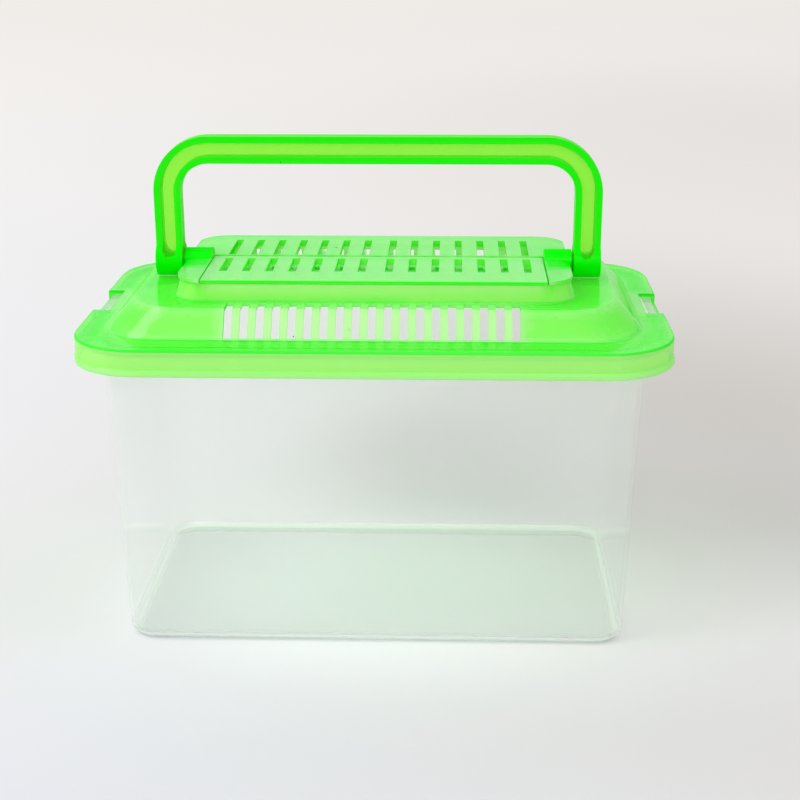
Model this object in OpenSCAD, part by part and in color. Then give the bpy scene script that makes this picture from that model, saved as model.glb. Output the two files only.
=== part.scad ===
// Small plastic pet keeper: a clear tapered tank, a push-on lid with a hipped vented roof,
// a feeding hatch hinged in the lid's top plate, and a carry handle that folds to either side.
// Origin: centre of the base. +X is the length, -Y the front, +Z up. Millimetres.

/* [Tank] */
// Length over the tank's rim flange
rim_l = 176; // [150:0.5:220]
// Width over the tank's rim flange
rim_w = 106.4; // [95:0.2:140]
// Plan radius of the rim flange's corners
rim_corner_r = 19.6; // [16:0.1:24]
// How far the rim flange stands out from the tank's walls
rim_overhang = 6.4; // [5:0.1:7.5]
// Thickness of the rim flange
rim_t = 1.3; // [1:0.1:2]
// Height of the tank to the top of its rim
tank_h = 97.8; // [70:0.1:140]
// Draft of the tank's walls, in degrees from upright
tank_draft = 2; // [1:0.1:3]
// Thickness of the tank's walls
tank_wall = 1.2; // [0.9:0.1:2]
// Thickness of the tank's floor
floor_t = 1.5; // [1:0.1:3]
// Plan radius of the wall corners, just under the rim
wall_corner_r = 12.5; // [11:0.1:15]
// Radius of the rounded edge round the base
base_fillet = 3.5; // [2.5:0.1:4.5]

/* [Lid] */
// Thickness of the lid's skirt, ledge, roof and collar
lid_wall = 1.2; // [1:0.05:1.5]
// Gap between the skirt and the tank's rim, on each side
skirt_fit = 0.4; // [0.3:0.05:0.8]
// Gap between the tank's rim and the ledge that lies over it
seat_gap = 0.3; // [0.3:0.05:0.6]
// Height of the skirt, from its lower edge to the top of the ledge
skirt_h = 8.1; // [7:0.1:14]
// Height of the thicker lip round the skirt's lower edge
lip_h = 1.6; // [1:0.1:3]
// How far the lip stands out from the skirt
lip_proud = 0.4; // [0.2:0.05:0.8]
// Radius of the rounded edge where the skirt meets the ledge
shoulder_r = 0.6; // [0.5:0.1:2.2]
// Width of the flat ledge at the two ends
ledge_end = 8.6; // [7.5:0.1:10]
// Width of the flat ledge at the front and back
ledge_side = 10.8; // [8:0.1:11.4]
// Height of the sloping roof, from the ledge to the shelf
roof_h = 8.2; // [5:0.1:12]
// How far the roof slopes inwards at the two ends
roof_run_end = 8; // [5:0.1:9]
// How far the roof slopes inwards at the front and back
roof_run_side = 5.5; // [4:0.1:8]
// Plan radius of the roof's corners
roof_corner_r = 16; // [12:0.1:20]
// Length of each end notch in the ledge, where the rim shows through
notch_l = 23.6; // [14:0.1:30]
// How far each end notch reaches in from the skirt
notch_in = 5.6; // [3:0.1:6.5]
// How far each end notch cuts down into the skirt
notch_drop = 3.1; // [1.5:0.1:4.5]

/* [Top plate] */
// Length of the top plate
plate_l = 120; // [116:0.2:124]
// Width of the top plate
plate_w = 60.4; // [52:0.2:62]
// Plan radius of the top plate's corners
plate_corner_r = 9.2; // [6:0.1:11]
// Height of the top plate's upper face above the shelf
plate_rise = 6.35; // [6:0.05:9]
// Thickness of the top plate inside the collar
plate_t = 2.1; // [1.6:0.05:2.4]
// Thickness of the plate's edge where it stands over the collar
edge_t = 1; // [0.8:0.05:1.2]
// How far the plate's edge stands over the collar
edge_overhang = 0.8; // [0.4:0.05:1.5]
// How far the collar's ends slope outwards, from the plate down to the shelf
collar_flare = 1.7; // [0:0.1:2]

/* [Vents] */
// Number of slots in the roof's front, and in its back
grille_n = 19; // [5:2:19]
// Spacing of those slots
grille_pitch = 4.72; // [4:0.02:5]
// Width of those slots
grille_w = 2.45; // [1.5:0.05:2.8]
// Width of the shelf that those slots leave whole beside the collar
grille_land = 2.9; // [1.5:0.1:4]
// How far the slots in the roof's back run up into the collar
grille_rise = 2.1; // [0.5:0.1:3]
// Number of slots on each side of the centre, in each row of the top plate
top_n = 7; // [2:1:7]
// Spacing of the slots in the top plate
top_pitch = 7.1; // [5.5:0.05:7.2]
// Spacing of the middle two slots in each row
top_middle = 8.3; // [5.5:0.05:9]
// Width of the slots in the top plate
top_slot_w = 2.3; // [1.5:0.05:3]
// Length of the slots in the hatch
front_slot_l = 17; // [8:0.1:20]
// Length of the slots behind the hatch
back_slot_l = 20.4; // [8:0.1:21]

/* [Hatch] */
// Length of the hatch
hatch_l = 104; // [100.4:0.1:104.6]
// Gap between the hatch and the lid at its ends
hatch_gap = 0.4; // [0.3:0.05:0.6]
// Radius of the rolled edge along the hinge
knuckle_r = 1.3; // [1.1:0.05:1.5]
// Radius of the hatch's hinge pins
hatch_pin_r = 0.9; // [0.7:0.05:1]
// Gap round each hinge pin of the hatch
hatch_pin_fit = 0.08; // [0.03:0.01:0.1]
// Width of the ledges that carry the ends of the hatch
rest_w = 2; // [1:0.1:2.5]

/* [Handle] */
// Width of the handle's strap
strap_w = 8.4; // [6.5:0.1:11]
// Depth of the strap, front to back
strap_d = 5; // [4:0.1:6]
// Width of the rim along each edge of the strap
strap_rim = 2.1; // [1.5:0.1:2.8]
// Thickness of the strap's web between its rims
strap_web = 1.6; // [1:0.1:2.4]
// Inner radius of the handle's two bends
bend_r = 9.1; // [5:0.1:16]
// Gap between the folded handle and the edge of the top plate
fold_gap = 0.4; // [0.3:0.05:2]
// Gap between the handle's legs and the ends of the top plate
leg_gap = 1.6; // [1.5:0.1:3]
// Gap between the handle's legs and the ends of the barrels
barrel_gap = 0.6; // [0.3:0.1:1]
// Radius of the handle's pivot pins
pin_r = 2.3; // [1.8:0.05:3]
// Gap round each pivot pin
pin_fit = 0.08; // [0.03:0.01:0.1]
// How far the pivots lie below the top plate's upper face
pivot_drop = 0.65; // [0.4:0.05:1]
// Thickness of the barrels round the pivot pins
barrel_wall = 1.12; // [1:0.02:1.5]
// Thickness of the cap at each barrel's inner end
cap_t = 1.4; // [1:0.1:2]

/* [Hidden] */
run_gap = 0.3; // between two pieces that move past each other
cut = 1; // how far a cutter runs past the face that it opens
corner_steps = 9; // facets in each rounded corner of a lofted wall
$fn = 72;

// tank
wall_top_z = tank_h - rim_t;
wall_x = rim_l / 2 - rim_overhang;
wall_y = rim_w / 2 - rim_overhang;

// lid
skirt_x = rim_l / 2 + skirt_fit;
skirt_y = rim_w / 2 + skirt_fit;
skirt_r = rim_corner_r + skirt_fit;
ledge_z = tank_h + seat_gap + lid_wall;
skirt_z = ledge_z - skirt_h;
shelf_z = ledge_z + roof_h;
foot_x = skirt_x + lid_wall - ledge_end;
foot_y = skirt_y + lid_wall - ledge_side;
shelf_x = foot_x - roof_run_end;
shelf_y = foot_y - roof_run_side;

// top plate
plate_z = shelf_z + plate_rise;
collar_l = plate_l - 2 * edge_overhang;
collar_w = plate_w - 2 * edge_overhang;
collar_r = plate_corner_r - edge_overhang;
bay_y = collar_w / 2 - lid_wall; // inner face of the collar

// pivots and hinge
pivot_z = plate_z - pivot_drop;
barrel_r = pin_r + pin_fit + barrel_wall;
barrel_x = hatch_l / 2 + hatch_gap; // inner end of each barrel
hinge_z = plate_z - knuckle_r;
rest_z = plate_z - plate_t - run_gap; // what the ends of the hatch lie on

// handle
leg_x = plate_l / 2 + leg_gap; // inner face of each leg
barrel_end = leg_x - barrel_gap; // outer end of each barrel
grip_z = pivot_z + plate_w / 2 + fold_gap; // underside of the grip
hub_r = pivot_z - shelf_z - run_gap;

// One rounded rectangle of a loft: [height, half length, half width, corner radius]
function ring(s) = [
    for (quarter = [0 : 3], step = [0 : corner_steps])
        let (
            a = 90 * (quarter + step / corner_steps),
            side_x = (quarter == 0 || quarter == 3) ? 1 : -1,
            side_y = quarter < 2 ? 1 : -1
        )
        [side_x * (s[1] - s[3]) + s[3] * cos(a), side_y * (s[2] - s[3]) + s[3] * sin(a), s[0]]
];

// The same rounded rectangle, moved in by d at height z
function inset(z, x, y, r, d) = [z, x - d, y - d, r - d];

// A solid through a list of rounded rectangles, from the lowest to the highest
module loft(sections) {
    m = 4 * (corner_steps + 1);
    top = m * (len(sections) - 1);
    points = [for (s = sections) each ring(s)];
    walls = [
        for (k = [0 : len(sections) - 2], i = [0 : m - 1])
            let (j = (i + 1) % m, a = k * m)
            [a + i, a + m + i, a + m + j, a + j]
    ];
    floor_face = [for (i = [0 : m - 1]) i];
    top_face = [for (i = [m - 1 : -1 : 0]) top + i];
    polyhedron(points, concat([floor_face], walls, [top_face]));
}

// A plate with true round corners, its underside at z = 0
module round_plate(l, w, r, h) {
    linear_extrude(h) {
        square([l - 2 * r, w], center = true);
        square([l, w - 2 * r], center = true);
        for (x = [-1, 1], y = [-1, 1])
            translate([x * (l / 2 - r), y * (w / 2 - r)])
                circle(r);
    }
}

// A rod along X from x0 to x1, in the plane y = 0
module rod(x0, x1, z, r) {
    translate([x0, 0, z])
        rotate([0, 90, 0])
            cylinder(h = x1 - x0, r = r);
}

// Its children at both ends of the keeper
module both_ends() {
    for (side = [0, 1])
        mirror([side, 0, 0])
            children();
}

// Tank ---------------------------------------------------------------

// How far the wall has drawn in at height z
function draft_at(z) = (wall_top_z - z) * tan(tank_draft);

// The tank's form at a depth d inside its outer face, from its floor up to z1
module tank_form(d, floor_z, z1) {
    f = base_fillet - d;
    loft([
        for (a = [0 : 22.5 : 90])
            let (z = floor_z + f * (1 - cos(a)))
            inset(z, wall_x, wall_y, wall_corner_r, d + draft_at(z) + f * (1 - sin(a))),
        inset(z1, wall_x, wall_y, wall_corner_r, d + draft_at(z1))
    ]);
}

module tank() {
    color([0.88, 0.93, 0.9, 0.4])
    difference() {
        union() {
            tank_form(0, 0, wall_top_z + rim_t / 2);
            translate([0, 0, wall_top_z])
                round_plate(rim_l, rim_w, rim_corner_r, rim_t);
        }
        tank_form(tank_wall, floor_t, tank_h + cut);
    }
}

// Lid ----------------------------------------------------------------

// Horizontal distance between the two faces of a slope, less what it has run in one wall's height
function slope_inset(run) = lid_wall * (norm([run, roof_h]) - run) / roof_h;

// Skirt with its lip, rounded shoulder, ledge and sloping roof, up to the shelf
module lid_outside() {
    x = skirt_x + lid_wall;
    y = skirt_y + lid_wall;
    r = skirt_r + lid_wall;
    loft([
        inset(skirt_z, x, y, r, -lip_proud),
        inset(skirt_z + lip_h, x, y, r, -lip_proud),
        inset(skirt_z + lip_h + lip_proud, x, y, r, 0),
        for (a = [0 : 22.5 : 90])
            inset(ledge_z - shoulder_r * (1 - sin(a)), x, y, r, shoulder_r * (1 - cos(a))),
        [ledge_z, foot_x, foot_y, roof_corner_r],
        [shelf_z, shelf_x, shelf_y, roof_corner_r]
    ]);
}

// The hollow under the ledge and the roof
module lid_inside() {
    end_in = slope_inset(roof_run_end);
    side_in = slope_inset(roof_run_side);
    r = roof_corner_r - max(end_in, side_in);
    loft([
        [skirt_z - cut, skirt_x, skirt_y, skirt_r],
        [ledge_z - lid_wall, skirt_x, skirt_y, skirt_r],
        [ledge_z - lid_wall, foot_x - end_in, foot_y - side_in, r],
        [shelf_z - lid_wall, shelf_x - end_in, shelf_y - side_in, r]
    ]);
}

// Collar and top plate, solid
module raised_top() {
    loft([
        [shelf_z - lid_wall, collar_l / 2 + collar_flare, collar_w / 2, collar_r],
        [shelf_z, collar_l / 2 + collar_flare, collar_w / 2, collar_r],
        [plate_z - edge_t, collar_l / 2, collar_w / 2, collar_r]
    ]);
    translate([0, 0, plate_z - edge_t])
        round_plate(plate_l, plate_w, plate_corner_r, edge_t);
}

// The hollow inside the collar, under the top plate
module collar_bay() {
    x = collar_l / 2 - lid_wall;
    r = collar_r - lid_wall;
    loft([
        [shelf_z - lid_wall - cut, x + collar_flare, bay_y, r],
        [shelf_z - lid_wall / 2, x + collar_flare, bay_y, r],
        [plate_z - plate_t, x, bay_y, r]
    ]);
}

// Where the hatch lies: the plate is open, and the front of the collar stops below the hatch's edge
module hatch_bay() {
    back_y = knuckle_r + run_gap;
    translate([-barrel_x, -bay_y, rest_z])
        cube([2 * barrel_x, bay_y + back_y, plate_z - rest_z + cut]);
    translate([-barrel_x, -plate_w / 2 - cut, plate_z - edge_t - run_gap])
        cube([2 * barrel_x, plate_w / 2 - bay_y + 2 * cut, edge_t + run_gap + cut]);
}

// Ledge under one end of the hatch, hung from the plate beside it
module hatch_rest() {
    front_y = bay_y + lid_wall / 2;
    back_y = knuckle_r + 3 * run_gap;
    translate([barrel_x - rest_w, -front_y, rest_z - lid_wall])
        cube([rest_w + lid_wall, front_y - back_y, lid_wall]);
    translate([barrel_x, -front_y, rest_z - lid_wall])
        cube([lid_wall, front_y - back_y, plate_z - rest_z]);
}

// A row of equal slots along X, each from y0 to y1 and from z0 to z1
module slots(centres, w, y0, y1, z0, z1) {
    for (x = centres)
        translate([x - w / 2, y0, z0])
            cube([w, y1 - y0, z1 - z0]);
}

grille_xs = [for (i = [0 : grille_n - 1]) (i - (grille_n - 1) / 2) * grille_pitch];
top_xs = [for (i = [0 : top_n - 1], side = [-1, 1]) side * (top_middle / 2 + i * top_pitch)];

// Slots through the front slope, which run on into the shelf
module slope_grille() {
    slots(grille_xs, grille_w, -foot_y + lid_wall / 4, -collar_w / 2 - grille_land,
        ledge_z - lid_wall / 2, shelf_z + cut);
}

// Openings that carry the back slots on through the shelf and the foot of the collar
module collar_grille() {
    slots(grille_xs, grille_w, bay_y - cut, shelf_y, shelf_z - lid_wall - cut, shelf_z + grille_rise);
}

// Slots through the fixed half of the plate, behind the hatch
module plate_slots() {
    y0 = knuckle_r + run_gap + lid_wall;
    slots(top_xs, top_slot_w, y0, y0 + back_slot_l, plate_z - plate_t - cut, plate_z + cut);
}

// End notch through the ledge and the top of the skirt
module end_notch() {
    x = skirt_x + lid_wall + lip_proud;
    translate([x - lip_proud - notch_in, -notch_l / 2, ledge_z - notch_drop])
        cube([notch_in + lip_proud + cut, notch_l, notch_drop + cut]);
}

module lid() {
    color([0.36, 0.95, 0.35, 0.9])
    difference() {
        union() {
            difference() {
                union() {
                    lid_outside();
                    raised_top();
                }
                lid_inside();
                collar_bay();
                hatch_bay();
                for (back = [0, 1])
                    mirror([0, back, 0])
                        slope_grille();
                collar_grille();
                plate_slots();
            }
            both_ends() {
                rod(barrel_x, barrel_end, pivot_z, barrel_r);
                hatch_rest();
            }
        }
        both_ends() {
            rod(barrel_x + cap_t, barrel_end + cut, pivot_z, pin_r + pin_fit);
            rod(barrel_x - cut, barrel_x + cap_t + cut, hinge_z, hatch_pin_r + hatch_pin_fit);
            end_notch();
        }
    }
}

// Hatch --------------------------------------------------------------

module hatch() {
    front_y = bay_y - run_gap; // the thick part drops inside the collar
    slot_y = -knuckle_r - lid_wall / 2;
    color([0.45, 0.96, 0.42, 0.9])
    union() {
        difference() {
            union() {
                translate([-hatch_l / 2, -front_y, plate_z - plate_t])
                    cube([hatch_l, front_y, plate_t]);
                translate([-hatch_l / 2, -plate_w / 2, plate_z - edge_t])
                    cube([hatch_l, plate_w / 2, edge_t]);
            }
            slots(top_xs, top_slot_w, slot_y - front_slot_l, slot_y, plate_z - plate_t - cut, plate_z + cut);
        }
        rod(-hatch_l / 2, hatch_l / 2, hinge_z, knuckle_r);
        rod(-barrel_x - cap_t + run_gap, barrel_x + cap_t - run_gap, hinge_z, hatch_pin_r);
    }
}

// Handle -------------------------------------------------------------

// Outline of an arch in the XZ plane, from height z0 up, with rounded top corners
module arch(half, top, r, z0) {
    translate([-half, z0])
        square([2 * half, top - r - z0]);
    translate([-half + r, z0])
        square([2 * (half - r), top - z0]);
    for (x = [-1, 1])
        translate([x * (half - r), top - r])
            circle(r);
}

// The band between two arches, d0 and d1 outside the handle's inner edge
module arch_band(d0, d1, z0) {
    difference() {
        arch(leg_x + d1, grip_z + d1, bend_r + d1, z0);
        arch(leg_x + d0, grip_z + d0, bend_r + d0, z0 - cut);
    }
}

// An outline in the XZ plane, y0 to y1 front to back
module upright(y0, y1) {
    translate([0, y1, 0])
        rotate([90, 0, 0])
            linear_extrude(y1 - y0)
                children();
}

// The channel between the strap's rims, with round lower ends
module channel() {
    end_r = strap_w / 2 - strap_rim;
    end_z = pivot_z + end_r + lid_wall;
    arch_band(strap_rim, strap_w - strap_rim, end_z);
    for (x = [-1, 1])
        translate([x * (leg_x + strap_w / 2), end_z])
            circle(end_r);
}

module handle() {
    color([0.1, 0.88, 0.12, 0.95])
    difference() {
        union() {
            upright(-strap_d / 2, strap_d / 2)
                arch_band(0, strap_w, pivot_z);
            both_ends() {
                rod(leg_x, leg_x + strap_w, pivot_z, hub_r);
                rod(barrel_x + cap_t + run_gap, leg_x, pivot_z, pin_r);
            }
        }
        upright(-hub_r, -strap_web / 2)
            channel();
        upright(strap_web / 2, hub_r)
            channel();
    }
}

tank();
lid();
hatch();
handle();
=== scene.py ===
import math

import bmesh
import bpy
from mathutils import Matrix, Vector
from mathutils.bvhtree import BVHTree


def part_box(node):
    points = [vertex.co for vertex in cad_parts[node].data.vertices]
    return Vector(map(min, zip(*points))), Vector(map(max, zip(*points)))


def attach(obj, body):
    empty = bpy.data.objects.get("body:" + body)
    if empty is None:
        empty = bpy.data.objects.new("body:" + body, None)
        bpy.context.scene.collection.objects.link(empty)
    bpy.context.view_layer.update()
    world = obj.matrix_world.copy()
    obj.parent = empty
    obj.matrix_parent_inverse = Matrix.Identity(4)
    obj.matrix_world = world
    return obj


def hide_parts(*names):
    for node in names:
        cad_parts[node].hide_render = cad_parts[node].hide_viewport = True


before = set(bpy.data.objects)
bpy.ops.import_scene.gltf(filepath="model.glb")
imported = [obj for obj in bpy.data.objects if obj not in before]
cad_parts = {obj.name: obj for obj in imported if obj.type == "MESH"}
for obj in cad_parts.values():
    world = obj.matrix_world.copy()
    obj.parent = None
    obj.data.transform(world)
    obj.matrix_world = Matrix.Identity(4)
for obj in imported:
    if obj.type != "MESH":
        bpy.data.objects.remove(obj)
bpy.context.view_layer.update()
print("frame loaded:", sorted(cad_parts))

scene = bpy.context.scene
scene.view_settings.view_transform = "Standard"
scene.cycles.transparent_max_bounces = 48  # many thin clear walls lie one behind another


class Wire:  # a node socket that takes part in Python expressions
    def __init__(self, shader, socket):
        self.shader = shader
        self.socket = socket

    def maths(self, operation, a, b):
        return self.shader.add("ShaderNodeMath", {"operation": operation}, {0: a, 1: b})

    def __add__(self, other):
        return self.maths("ADD", self, other)

    def __radd__(self, other):
        return self.maths("ADD", other, self)

    def __sub__(self, other):
        return self.maths("SUBTRACT", self, other)

    def __rsub__(self, other):
        return self.maths("SUBTRACT", other, self)

    def __mul__(self, other):
        return self.maths("MULTIPLY", self, other)

    def __rmul__(self, other):
        return self.maths("MULTIPLY", other, self)

    def __pow__(self, other):
        return self.maths("POWER", self, other)

    def __abs__(self):
        return self.maths("ABSOLUTE", self, 0.0)


class Shader:  # the node tree of a new material, or of the world
    def __init__(self, name, world=None):
        self.material = world or bpy.data.materials.new(name)
        self.material.use_nodes = True
        self.tree = self.material.node_tree
        self.tree.nodes.clear()
        self.out = self.tree.nodes.new("ShaderNodeOutputWorld" if world else "ShaderNodeOutputMaterial")

    def add(self, kind, settings=None, inputs=None, output=0):
        node = self.tree.nodes.new(kind)
        for name, value in (settings or {}).items():
            if name == "stops":
                while len(node.color_ramp.elements) < len(value):
                    node.color_ramp.elements.new(0.5)
                for stop, (place, colour) in zip(node.color_ramp.elements, value):
                    stop.position, stop.color = place, colour
            else:
                setattr(node, name, value)
        for name, value in (inputs or {}).items():
            if isinstance(value, Wire):
                self.tree.links.new(value.socket, node.inputs[name])
            else:
                node.inputs[name].default_value = value
        return Wire(self, node.outputs[output])

    def finish(self, surface):
        self.tree.links.new(surface.socket, self.out.inputs["Surface"])
        return self.material

    def place(self):
        return self.add("ShaderNodeTexCoord", output="Object")

    def along(self, axis):
        return self.add("ShaderNodeSeparateXYZ", None, {0: self.place()}, axis)

    def between(self, value, low, high):  # 0 below the low value and 1 above the high one
        return self.add("ShaderNodeMapRange", None, {"Value": value, "From Min": low, "From Max": high})

    def upward(self):  # how far a face looks up, from -1 to 1
        normal = self.add("ShaderNodeTexCoord", output="Normal")
        return self.add("ShaderNodeSeparateXYZ", None, {0: normal}, "Z")

    def attribute(self, name):
        return self.add("ShaderNodeAttribute", {"attribute_name": name}, output="Fac")

    def greater(self, a, b):
        return self.add("ShaderNodeMath", {"operation": "MAXIMUM"}, {0: a, 1: b})

    def blend(self, share, a, b):
        return self.add("ShaderNodeMix", {"data_type": "RGBA"}, {"Factor": share, "A": a, "B": b}, output=2)

    def noise(self, scale, detail=3.0, rough=0.5):
        return self.add("ShaderNodeTexNoise", None,
                        {"Vector": self.place(), "Scale": scale, "Detail": detail, "Roughness": rough})


# Where the plastic's look changes, in metres or as shares
changes = {
    "collar": (0.1073, 0.1079),  # height at which the walls turn from roof to collar
    "crown": (0.1115, 0.1130),  # height at which the flats turn from shelf to top plate
    "ends": (0.064, 0.072),  # distance from the middle at which the ends of the lid begin
    "ribSlant": (-0.2, 0.2),  # slant at which a rib shows in full
    "bandSlant": (0.01, 0.06),  # slant that tells a rounded edge from a flat
    "gap": (0.86, 0.94),  # nook of a gap between two pieces
    "pivotShadeEdge": (1.1, 0.75),  # soft edge of the painted shade patch in front of each pivot
    "pivotShadeTop": (0.1120, 0.1130),  # height from which that painted shade shows, at the top plate
    "bandBlur": 0.00015,  # half the soft edge above and below a band
    "bandEnd": 0.001,  # soft edge at the end of a band
}


# A clear or tinted moulding. Part of the light passes straight through each face. Its attributes say how
# thick the plastic is under a face ("depth"), how far a face is shut in by others ("nook"), and how narrow a
# rib it lies on ("rib"). Narrow ribs, which light fills from their sides, are painted paler as a highlight.
# Nooks are painted as shade (white on the tank, as a painted highlight). Up-facing and upright faces get
# different painted colours for the light and shade on them, and a patch in front of each pivot is painted
# as shade. Bands follow its rounded edges. The gloss lies over it all and grows towards a glancing view
def mouldedPlastic(name, look):
    s = Shader(name)
    depth, nook = s.attribute("depth"), s.attribute("nook")
    height, upright = s.along("Z"), 1 - abs(s.upward())
    cloud = s.noise(look["cloudScale"])
    skin = s.noise(look["skinScale"], 4.0, 0.6)

    # painted light and shade: faces that look up, upright faces, the top plate and the collar each get their
    # own colour for the sheen and shade on them
    crown = look.get("paintedCrownColour", look["paintedTopColour"])
    collar = look.get("paintedCollarColour", look["paintedSideColour"])
    top = s.blend(s.between(height, *changes["crown"]), look["paintedTopColour"], crown)
    side = s.blend(s.between(height, *changes["collar"]), look["paintedSideColour"], collar)
    wall = s.blend(upright, top, side)
    ends = s.between(abs(s.along("X")), *changes["ends"])
    # painted highlight: narrow ribs and lips, and the upright faces at the lid's ends, are painted paler
    thin = s.attribute("rib") * s.greater(s.between(upright, *changes["ribSlant"]), ends)
    lit = s.blend(look["ribHighlightShare"] * thin * (1 - depth), wall, look["ribHighlightColour"])

    deep = depth + look["cloud"] * (cloud - 0.5)
    # painted shade: a soft darker patch on the top plate in front of each pivot
    if "pivotShade" in look:
        pivotShade = look["pivotShade"]
        across = abs(abs(s.along("X")) - pivotShade["x"]) * (1 / pivotShade["halfX"])
        along = abs(s.along("Y") - pivotShade["y"]) * (1 / pivotShade["halfY"])
        pivotShadePatch = s.between(s.greater(across, along), *changes["pivotShadeEdge"])
        deep = deep + pivotShade["share"] * pivotShadePatch * s.between(height, *changes["pivotShadeTop"])
    shaded = s.blend(deep, lit, look["deepColour"])
    # painted shade: faces shut in by others are painted towards the deep colour, and on the tank white is
    # painted there as a highlight; narrow gaps are left out
    paintedNook = look["paintedNookShare"] * nook * (1 - s.between(nook, *changes["gap"]))
    colour = s.blend(paintedNook, shaded, look.get("paintedNookColour", look["deepColour"]))
    solid = look["thinSolid"] + (look["deepSolid"] - look["thinSolid"]) * deep
    solid = solid * (1 - look["nookClear"] * nook ** 8)

    # on the tank these bands are a painted shadow line along its foot and a painted highlight line above it
    for band in look["bands"]:
        blur = changes["bandBlur"]
        above = s.between(height, band["low"] - blur, band["low"] + blur)
        below = s.between(height, band["high"] + blur, band["high"] - blur)
        far = s.between(abs(s.along("Y")), band["fromY"], band["fromY"] + changes["bandEnd"])
        share = band["share"] * above * below * far * s.between(upright, *changes["bandSlant"])
        colour = s.blend(share, colour, band["colour"])
        solid = solid * (1 - share) + band["solid"] * share

    bump = s.add("ShaderNodeBump", None, {"Strength": look["bump"], "Distance": 0.0002, "Height": skin})
    rough = look["roughness"] + look["roughnessSwing"] * (skin - 0.5)
    body = s.add("ShaderNodeBsdfPrincipled", None, {
        "Base Color": colour, "Roughness": rough, "Normal": bump, "Specular IOR Level": 0.0})
    clear = s.add("ShaderNodeBsdfTransparent", None, {"Color": look["tint"]})
    plastic = s.add("ShaderNodeMixShader", None, {0: solid, 1: clear, 2: body})
    facing = s.add("ShaderNodeLayerWeight", None, {"Blend": 0.5}, output="Facing")
    shine = (look["shine"] + look["glance"] * facing ** 5) * (1 - look["deepDull"] * depth)
    gloss = s.add("ShaderNodeBsdfAnisotropic", None,
                  {"Color": (1, 1, 1, 1), "Roughness": rough, "Normal": bump})
    return s.finish(s.add("ShaderNodeMixShader", None, {0: shine, 1: plastic, 2: gloss}))


anywhere = -0.002  # a band with this fromY runs all the way round
plain = dict(skinScale=600, bump=0.04, paintedNookShare=0.0, nookClear=0.0, ribHighlightShare=0.0,
             ribHighlightColour=(1, 1, 1, 1), bands=[])
looks = {
    "clear_tank": dict(
        # painted light: the tank's up-facing faces, its floor most of all, are painted paler than its walls
        plain, paintedTopColour=(0.90, 0.94, 0.93, 1), paintedSideColour=(0.85, 0.88, 0.865, 1),
        # painted highlight: the tank's nooks, its inner fillets, are painted white
        deepColour=(0.46, 0.60, 0.49, 1), paintedNookColour=(1, 1, 1, 1), tint=(0.998, 0.998, 0.998, 1),
        thinSolid=0.09, deepSolid=0.75, roughness=0.10, roughnessSwing=0.04, shine=0.03, glance=0.45,
        deepDull=0.0, cloud=0.08, cloudScale=14, skinScale=500, paintedNookShare=0.6,
        # painted shadow: a deep line along the foot of the tank's front and back, where it meets the floor
        bands=[dict(low=-0.001, high=0.0012, fromY=0.036, colour=(0.44, 0.62, 0.48, 1),
                    share=0.75, solid=0.7),
               # painted highlight: a pale line all round the tank just above its foot
               dict(low=0.0013, high=0.0027, fromY=anywhere, colour=(0.94, 0.98, 0.94, 1),
                    share=0.75, solid=0.5)]),
    "lid_plastic": dict(
        # painted light and shade: up-facing flats are painted deeper green, the top plate paler for its
        # sheen, and the collar its own green
        plain, paintedTopColour=(0.02, 0.95, 0.0, 1), paintedCrownColour=(0.45, 0.99, 0.38, 1),
        # painted highlight: the paler colour of the lid's narrow ribs
        paintedSideColour=(0.50, 0.98, 0.20, 1), paintedCollarColour=(0.42, 0.97, 0.06, 1), ribHighlightColour=(0.90, 0.98, 0.75, 1),
        deepColour=(0.0, 0.78, 0.0, 1), tint=(0.60, 1, 0.43, 1), thinSolid=0.38, deepSolid=0.96,
        roughness=0.10, roughnessSwing=0.04, shine=0.03, glance=0.45, deepDull=0.85, cloud=0.15,
        # painted shade: the lid's nooks and slots are painted deep green
        cloudScale=20, paintedNookShare=1.0, nookClear=1.0, ribHighlightShare=1.3,
        # painted shade: where the soft patch in front of each pivot lies
        pivotShade=dict(x=0.0568, halfX=0.0043, y=-0.0080, halfY=0.0085, share=0.45),
        bands=[dict(low=0.0926, high=0.0933, fromY=anywhere, colour=(0.25, 0.90, 0.08, 1),
                    share=0.7, solid=0.8),
               dict(low=0.0985, high=0.0994, fromY=anywhere, colour=(0.0, 0.74, 0.0, 1),
                    share=0.85, solid=0.96)]),
    "handle_plastic": dict(
        # painted light and shade: up-facing and upright faces get slightly different greens
        plain, paintedTopColour=(0.25, 0.94, 0.03, 1), paintedSideColour=(0.28, 0.95, 0.06, 1),
        deepColour=(0.0, 0.76, 0.0, 1), tint=(0.66, 1, 0.3, 1), thinSolid=0.30, deepSolid=0.97,
        roughness=0.16, roughnessSwing=0.05, shine=0.01, glance=0.3, deepDull=0.6, cloud=0.06,
        cloudScale=20),
}
# painted highlight: the hatch's ribs are painted paler, though less than the lid's
looks["hatch_plastic"] = dict(looks["lid_plastic"], ribHighlightShare=0.8, paintedNookShare=1.5,
                              # painted shade: the hatch's nooks are painted a stronger, deeper green
                              deepColour=(0.0, 0.86, 0.0, 1))


plainFace, easedFace = 0, 1  # the faces' material numbers, until the moulding is measured


# Directions that lean away from an aim by an angle, spaced evenly around it
def rayFan(aim, lean, count):
    side = aim.orthogonal().normalized()
    spins = [Matrix.Rotation(2 * math.pi * k / count, 3, aim) for k in range(count)]
    return [aim * math.cos(lean) + (spin @ side) * math.sin(lean) for spin in spins]


# How far each ray gets before it meets the moulding, at most the reach
def waysOut(tree, start, rays, reach):
    hits = [tree.ray_cast(start, ray, reach)[3] for ray in rays]
    return [reach if hit is None else hit for hit in hits]


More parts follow.
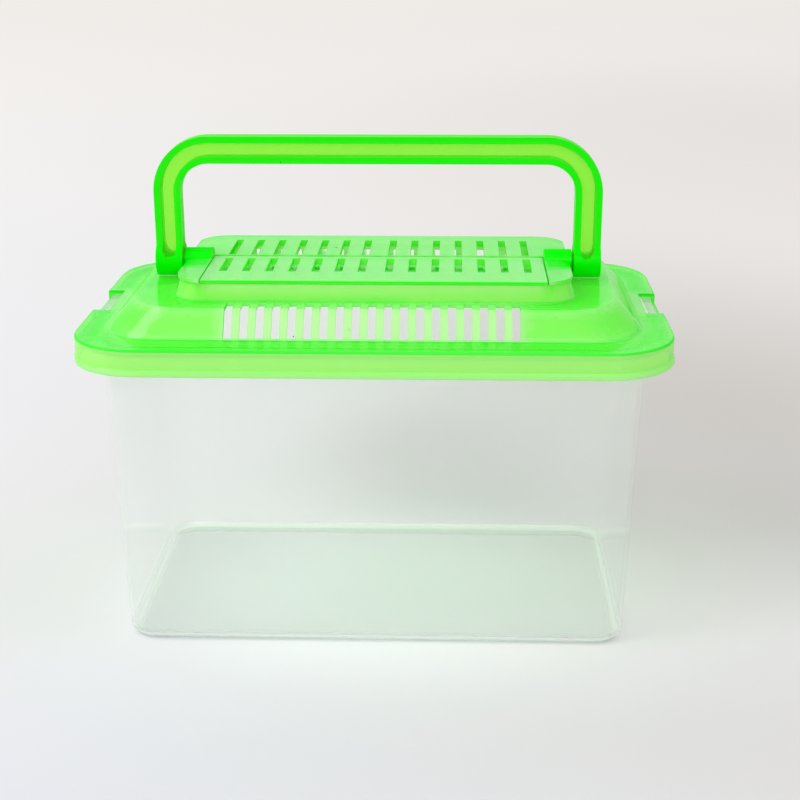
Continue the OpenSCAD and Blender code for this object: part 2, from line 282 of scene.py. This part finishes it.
# What the plastic is like at a face: its depth, from 0 for a thin wall to 1 for a solid lump, its nook, from
# 0 in the open to 1 in a narrow gap, and its rib, from 0 on a wide wall towards 1 on a narrow rib or lip
def plasticAt(tree, face, make):
    middle, out, lean = face.calc_center_median(), face.normal, math.radians(make["lean"])
    thick = waysOut(tree, middle - out * 1e-5, [-out] + rayFan(-out, lean, 6), make["reach"])
    air = waysOut(tree, middle + out * 1e-5, [out] + rayFan(out, lean, 6), make["reach"])
    sides = waysOut(tree, middle - out * make["under"], rayFan(out, math.pi / 2, 8), make["ribReach"])
    narrowest = min(sides[k] + sides[k + 4] for k in range(4))
    through = (thick[0] + sum(thick[1:]) / 6) / 2
    depth = 1 - math.exp(-max(0, through - make["wall"]) / make["soften"])
    if face.material_index == easedFace:
        deeper = make["edgeDepth"] if middle.z < make["edgeTop"] else 0.0
        return {"depth": min(1, depth + deeper), "nook": 0.0, "rib": 0.0}
    return {"depth": depth,
            "nook": 1 - sum(air) / 7 / make["reach"],
            "rib": 1 - narrowest / 2 / make["ribReach"]}


# The mean of a value over the faces at a corner that are of one kind and lie about the same way, so that it
# runs on across them
def evened(values, face, corner):
    near = math.cos(math.radians(35))
    alike = [values[g.index] for g in corner.vert.link_faces
             if g.material_index == face.material_index and g.normal.dot(face.normal) > near]
    return sum(alike) / len(alike) if alike else values[face.index]


# Whether a face lines a bore that a pin fills, so that the plastic runs on past it
def isFilled(face, bore):
    middle = face.calc_center_median()
    inward = Vector([0, bore["y"] - middle.y, bore["z"] - middle.z])
    return inward.length < bore["radius"] and inward.normalized().dot(face.normal) > 0.7


# Splitting large faces leaves their triangles in a new order on every run. This gives the triangles' places
# to them by their corners, so that every run is alike
def settleOrder(bm, triangles):
    bm.verts.index_update()
    bm.faces.index_update()
    place = {f.index: f.index for f in bm.faces}
    corners = sorted((sorted(v.index for v in f.verts), f.index) for f in triangles)
    for free, (_, index) in zip(sorted(f.index for f in triangles), corners):
        place[index] = free
    bm.faces.sort(key=lambda f: place[f.index])


# A copy of a CAD node with eased edges, cut into small cells that carry what the plastic is like
def dressedMoulding(node, make):
    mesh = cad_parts[node].data.copy()
    bm = bmesh.new()
    bm.from_mesh(mesh)
    bmesh.ops.remove_doubles(bm, verts=bm.verts, dist=1e-6)
    bmesh.ops.dissolve_limit(bm, angle_limit=math.radians(0.6), verts=bm.verts, edges=bm.edges)
    sharp = [e for e in bm.edges if e.is_manifold and e.calc_face_angle() > math.radians(make["sharpAngle"])]
    eased = bmesh.ops.bevel(bm, geom=sharp, offset=make["ease"], segments=2, profile=0.5, affect="EDGES",
                            clamp_overlap=True)["faces"]
    for f in bm.faces:
        f.material_index = plainFace
    for f in eased:
        f.material_index = easedFace
    settleOrder(bm, bmesh.ops.triangulate(bm, faces=[f for f in bm.faces if len(f.verts) > 4])["faces"])
    low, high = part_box(node)
    for axis in range(3):
        normal = Vector([float(axis == k) for k in range(3)])
        for k in range(1, int((high[axis] - low[axis]) / make["cell"]) + 1):
            bmesh.ops.bisect_plane(bm, geom=bm.verts[:] + bm.edges[:] + bm.faces[:], dist=1e-7,
                                   plane_co=normal * (low[axis] + k * make["cell"]), plane_no=normal)
    bm.normal_update()
    bm.verts.index_update()
    bm.faces.ensure_lookup_table()
    walls = [[v.index for v in f.verts] for f in bm.faces if not isFilled(f, make["bore"])]
    tree = BVHTree.FromPolygons([v.co for v in bm.verts], walls)
    for f in bm.faces:
        f.smooth = True
    measures = [plasticAt(tree, f, make) for f in bm.faces]
    for name in measures[0]:
        values = [m[name] for m in measures]
        layer = bm.loops.layers.float.new(name)
        for f in bm.faces:
            for loop in f.loops:
                loop[layer] = evened(values, f, loop)
    for f in bm.faces:
        f.material_index = plainFace
    for e in bm.edges:
        if e.is_manifold and e.calc_face_angle() > math.radians(make["sharpAngle"]):
            e.smooth = False
    bm.to_mesh(mesh)
    bm.free()
    mesh.name = make["piece"]
    mesh.materials.clear()
    mesh.materials.append(mouldedPlastic(make["slot"], looks[make["slot"]]))
    piece = bpy.data.objects.new(make["piece"], mesh)
    scene.collection.objects.link(piece)
    weighted = piece.modifiers.new("even_normals", "WEIGHTED_NORMAL")
    weighted.keep_sharp = True
    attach(piece, make["body"])
    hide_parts(node)
    print(make["piece"], len(mesh.polygons), "faces")
    return piece


common = dict(lean=38, reach=0.012, under=0.0005, ribReach=0.003, sharpAngle=32, ease=0.00022,
              edgeDepth=0.0, edgeTop=0.1130, bore=dict(y=0.0, z=0.1132, radius=0.0026))
mouldings = {
    "tank": dict(common, piece="clear_tank", body="tank", slot="clear_tank",
                 cell=0.004, wall=0.0015, soften=0.0014),
    "lid": dict(common, piece="vented_lid", body="lid", slot="lid_plastic",
                cell=0.003, wall=0.0014, soften=0.0025, edgeDepth=0.8),
    "hatch": dict(common, piece="feeding_hatch", body="hatch", slot="hatch_plastic",
                  cell=0.003, wall=0.0023, soften=0.0015, edgeDepth=0.45),
    "handle": dict(common, piece="carry_handle", body="handle", slot="handle_plastic",
                   cell=0.0012, wall=0.0018, soften=0.001, lean=6),
}
dressed = {node: dressedMoulding(node, make) for node, make in mouldings.items()}
print("mouldings dressed")


# Dark pigment specks, strewn over the faces of a moulding that lie inside a box
def speckTree():
    tree = bpy.data.node_groups.new("pigment_specks", "GeometryNodeTree")
    for name, kind in {"Surface": "Geometry", "Per Area": "Float", "Seed": "Int", "Radius": "Float",
                       "Low": "Vector", "High": "Vector", "Material": "Material"}.items():
        tree.interface.new_socket(name=name, in_out="INPUT", socket_type="NodeSocket" + kind)
    tree.interface.new_socket(name="Specks", in_out="OUTPUT", socket_type="NodeSocketGeometry")
    given = tree.nodes.new("NodeGroupInput").outputs

    def add(kind, settings, inputs, output=0):
        node = tree.nodes.new(kind)
        for name, value in settings.items():
            setattr(node, name, value)
        for name, value in inputs.items():
            if isinstance(value, bpy.types.NodeSocket):
                tree.links.new(value, node.inputs[name])
            else:
                node.inputs[name].default_value = value
        return node.outputs[output]

    place = add("GeometryNodeInputPosition", {}, {})
    above = add("ShaderNodeVectorMath", {"operation": "MAXIMUM"}, {0: place, 1: given["Low"]})
    held = add("ShaderNodeVectorMath", {"operation": "MINIMUM"}, {0: above, 1: given["High"]})
    past = add("ShaderNodeVectorMath", {"operation": "DISTANCE"}, {0: place, 1: held}, "Value")
    within = add("FunctionNodeCompare", {"data_type": "FLOAT", "operation": "LESS_THAN"}, {0: past, 1: 1e-6})
    points = add("GeometryNodeDistributePointsOnFaces", {}, {
        "Mesh": given["Surface"], "Selection": within, "Density": given["Per Area"], "Seed": given["Seed"]})
    spin = points.node.outputs["Rotation"]
    grain = add("GeometryNodeMeshIcoSphere", {}, {"Radius": given["Radius"], "Subdivisions": 2})
    size = add("FunctionNodeRandomValue", {"data_type": "FLOAT_VECTOR"},
               {0: (0.4, 0.4, 0.15), 1: (1.0, 1.2, 0.3), "Seed": given["Seed"]})
    strewn = add("GeometryNodeInstanceOnPoints", {}, {
        "Points": points, "Instance": grain, "Rotation": spin, "Scale": size})
    solid = add("GeometryNodeRealizeInstances", {}, {0: strewn})
    painted = add("GeometryNodeSetMaterial", {}, {0: solid, "Material": given["Material"]})
    tree.links.new(painted, tree.nodes.new("NodeGroupOutput").inputs[0])
    return tree


def speckMaterial():
    s = Shader("pigment_speck")
    colour = s.blend(s.noise(900), (0.012, 0.09, 0.01, 1), (0.05, 0.03, 0.02, 1))
    return s.finish(s.add("ShaderNodeBsdfPrincipled", None, {"Base Color": colour, "Roughness": 0.5}))


def strewSpecks(piece, make, tree, material):
    low, high = [Vector(corner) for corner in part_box(make["on"])]
    inside = Vector([make["margin"]] * 3)
    values = {"Per Area": make["perArea"], "Seed": make["seed"], "Radius": make["radius"],
              "Low": low + inside, "High": high - inside, "Material": material}
    source = bpy.data.objects.new("speck_source", piece.data)
    scene.collection.objects.link(source)
    strew = source.modifiers.new("specks", "NODES")
    strew.node_group = tree
    for socket in tree.interface.items_tree:
        if socket.in_out == "INPUT" and socket.name in values:
            strew[socket.identifier] = values[socket.name]
    seen = source.evaluated_get(bpy.context.evaluated_depsgraph_get())
    mesh = bpy.data.meshes.new_from_object(seen)
    bpy.data.objects.remove(source)
    for name in ("depth", "nook", "rib"):
        mesh.attributes.remove(mesh.attributes[name])
    mesh.name = make["piece"]
    specks = bpy.data.objects.new(make["piece"], mesh)
    scene.collection.objects.link(specks)
    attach(specks, mouldings[make["on"]]["body"])
    print(make["piece"], len(mesh.polygons) // 80, "specks")


strewn = {
    "lid": dict(piece="lid_specks", on="lid", perArea=700, seed=4, radius=0.00038, margin=0.001),
    "handle": dict(piece="handle_specks", on="handle", perArea=600, seed=7, radius=0.00036, margin=0.0008),
    "tank": dict(piece="tank_specks", on="tank", perArea=100, seed=3, radius=0.00026, margin=0.001),
}
tree, material = speckTree(), speckMaterial()
for node, make in strewn.items():
    strewSpecks(dressed[node], make, tree, material)


floorLook = dict(
    radius=9.0, roughness=0.6, nearPlace=-0.3, farPlace=2.7,
    # painted shade: the floor darkens towards the front
    stops=[(0.05, (0.65, 0.65, 0.69, 1)), (0.085, (0.74, 0.72, 0.80, 1)), (0.12, (0.71, 0.69, 0.71, 1)),
           (0.18, (0.71, 0.71, 0.73, 1)), (0.32, (0.75, 0.74, 0.74, 1)), (0.50, (0.78, 0.76, 0.74, 1)),
           (1.00, (0.86, 0.827, 0.795, 1))],
    # painted light and shade: a pool of light under and round the tank, a shadow to its right and behind it,
    # and paler and darker patches about them
    paintedLightPatches=[dict(place=(0.08, 0.0, 0), reach=(0.29, 0.135, 1), colour=(0.93, 0.88, 0.93, 1)),
             dict(place=(0.17, 0.27, 0), reach=(0.27, 0.45, 1), colour=(0.355, 0.34, 0.315, 1)),
             dict(place=(0.28, 0.74, 0), reach=(0.72, 1.12, 1), colour=(0.72, 0.69, 0.673, 1)),
             dict(place=(-0.16, -0.01, 0), reach=(0.17, 0.15, 1), colour=(0.69, 0.68, 0.69, 1)),
             dict(place=(0.225, -0.10, 0), reach=(0.385, 0.107, 1), colour=(0.627, 0.603, 0.605, 1)),
             dict(place=(0.03, 0.12, 0), reach=(0.11, 0.12, 1), colour=(0.50, 0.49, 0.48, 1)),
             dict(place=(0.005, 0.0, 0), reach=(0.12, 0.085, 1), colour=(0.95, 0.93, 0.99, 1))])


# A pale floor with painted shade that darkens it towards the front, and soft wide patches of painted light
# and shade on it
def studioFloor():
    s = Shader("studio_floor")
    distance = s.between(s.along("Y"), floorLook["nearPlace"], floorLook["farPlace"])
    colour = s.add("ShaderNodeValToRGB", {"stops": floorLook["stops"]}, {0: distance})
    for paintedPatch in floorLook["paintedLightPatches"]:
        away = s.add("ShaderNodeVectorMath", {"operation": "SUBTRACT"}, {0: s.place(), 1: paintedPatch["place"]})
        scaled = s.add("ShaderNodeVectorMath", {"operation": "DIVIDE"}, {0: away, 1: paintedPatch["reach"]})
        length = s.add("ShaderNodeVectorMath", {"operation": "LENGTH"}, {0: scaled}, "Value")
        share = s.add("ShaderNodeMapRange", {"interpolation_type": "SMOOTHERSTEP"},
                      {"Value": length, "From Min": 0.0, "From Max": 1.0, "To Min": 1.0, "To Max": 0.0})
        colour = s.blend(share, colour, paintedPatch["colour"])
    material = s.finish(s.add("ShaderNodeBsdfPrincipled", None, {
        "Base Color": colour, "Roughness": floorLook["roughness"], "Specular IOR Level": 0.0}))
    mesh = bpy.data.meshes.new("studio_floor")
    bm = bmesh.new()
    bmesh.ops.create_circle(bm, cap_ends=True, radius=floorLook["radius"], segments=96)
    bm.to_mesh(mesh)
    bm.free()
    mesh.materials.append(material)
    floor = bpy.data.objects.new("studio_floor", mesh)
    scene.collection.objects.link(floor)


tentLook = dict(left=(1, 1, 1, 1), right=(0.66, 0.66, 0.66, 1), strength=1.08)


# An even white tent around everything, a little darker on the right
def studioTent():
    world = bpy.data.worlds.new("studio")
    scene.world = world
    tent = Shader("studio_tent", world)
    across = tent.add("ShaderNodeSeparateXYZ", None, {0: tent.add("ShaderNodeTexCoord")}, "X")
    colour = tent.blend(tent.between(across, -1.0, 1.0), tentLook["left"], tentLook["right"])
    tent.finish(tent.add("ShaderNodeBackground", None, {"Color": colour, "Strength": tentLook["strength"]}))


softboxes = {
    "key_softbox": dict(place=(-2.6, -0.6, 2.4), target=(0, 0, 0.06), size=1.9, power=50),
    "fill_softbox": dict(place=(0.5, -2.4, 1.1), target=(0, 0, 0.05), size=1.6, power=17),
}


def hangSoftbox(name, make):
    lamp = bpy.data.lights.new(name, "AREA")
    lamp.shape = "SQUARE"
    lamp.size = make["size"]
    lamp.energy = make["power"]
    softbox = bpy.data.objects.new(name, lamp)
    aim = Vector(make["target"]) - Vector(make["place"])
    softbox.location = make["place"]
    softbox.rotation_euler = aim.to_track_quat("-Z", "Y").to_euler()
    scene.collection.objects.link(softbox)


cameraView = dict(place=(0.02337, -0.46383, 0.22647), pitch=19.08, yaw=-2.04, roll=-0.18,
                  lens=67.5, sensor=36, nearest=0.01)


def setCamera():
    camera = bpy.data.cameras.new("camera")
    camera.lens = cameraView["lens"]
    camera.sensor_width = cameraView["sensor"]
    camera.clip_start = cameraView["nearest"]
    turn = (Matrix.Rotation(math.radians(-cameraView["yaw"]), 4, "Z")
            @ Matrix.Rotation(math.radians(90 - cameraView["pitch"]), 4, "X")
            @ Matrix.Rotation(math.radians(cameraView["roll"]), 4, "Z"))
    stand = bpy.data.objects.new("camera", camera)
    stand.matrix_world = Matrix.Translation(cameraView["place"]) @ turn
    scene.collection.objects.link(stand)
    scene.camera = stand


studioFloor()
studioTent()
for name, make in softboxes.items():
    hangSoftbox(name, make)
setCamera()
print("studio made")
